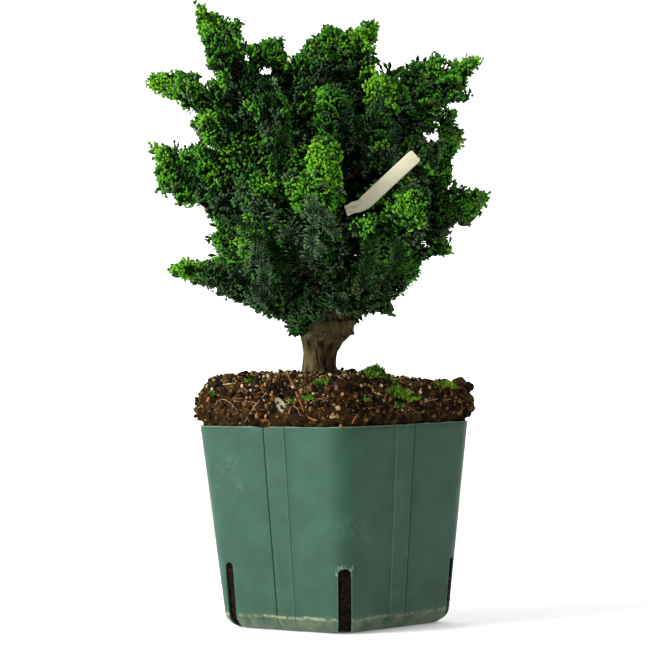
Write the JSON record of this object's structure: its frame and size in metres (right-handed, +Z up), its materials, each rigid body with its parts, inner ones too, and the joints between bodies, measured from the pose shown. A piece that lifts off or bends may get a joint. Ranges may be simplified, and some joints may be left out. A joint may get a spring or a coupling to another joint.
{
  "type": "potted dwarf cypress",
  "caption": "Small dense conifer with a fan-shaped crown of upswept plumes on a short trunk, in its root ball and a square tapered plastic pot with corner slits.",
  "frame": {"origin": "middle of the pot's flat underside", "axes": "+Z up along the plant; -Y towards the side that the picture shows, which one corner of the pot faces; the crown is widest along X"},
  "size_m": [0.2012, 0.1667, 0.367],
  "materials": {
    "pot": "satin",
    "soil": "matte",
    "bark": "matte",
    "foliage": "matte",
    "label": "matte"
  },
  "bodies": {
    "root": {"bough_back_low": "bark", "bough_back_middle": "bark", "bough_front_left": "bark", "bough_front_low": "bark", "bough_front_top": "bark", "bough_left_low": "bark", "bough_left_middle": "bark", "bough_left_top": "bark", "bough_right_low": "bark", "bough_right_middle": "bark", "bough_right_top": "bark", "leader": "bark", "mass_back_left": "foliage", "mass_back_left_low": "foliage", "mass_back_left_upper": "foliage", "mass_back_low": "foliage", "mass_back_middle": "foliage", "mass_back_right": "foliage", "mass_back_right_low": "foliage", "mass_back_right_upper": "foliage", "mass_back_top": "foliage", "mass_front_left": "foliage", "mass_front_left_low": "foliage", "mass_front_low": "foliage", "mass_front_plume": "foliage", "mass_front_right": "foliage", "mass_front_right_low": "foliage", "mass_front_upper": "foliage", "mass_front_upper_left": "foliage", "mass_front_upper_right": "foliage", "mass_left_base": "foliage", "mass_left_low": "foliage", "mass_left_lower": "foliage", "mass_left_middle": "foliage", "mass_left_top": "foliage", "mass_left_tuft": "foliage", "mass_left_upper": "foliage", "mass_right_base": "foliage", "mass_right_dome": "foliage", "mass_right_low": "foliage", "mass_right_lower": "foliage", "mass_right_middle": "foliage", "mass_right_top": "foliage", "mass_right_upper": "foliage", "mass_top": "foliage", "mass_top_peak": "foliage", "mass_top_tuft": "foliage", "plant_label": "label", "pot": "pot", "root_ball": "soil", "trunk": "bark"}
  },
  "joints": []
}
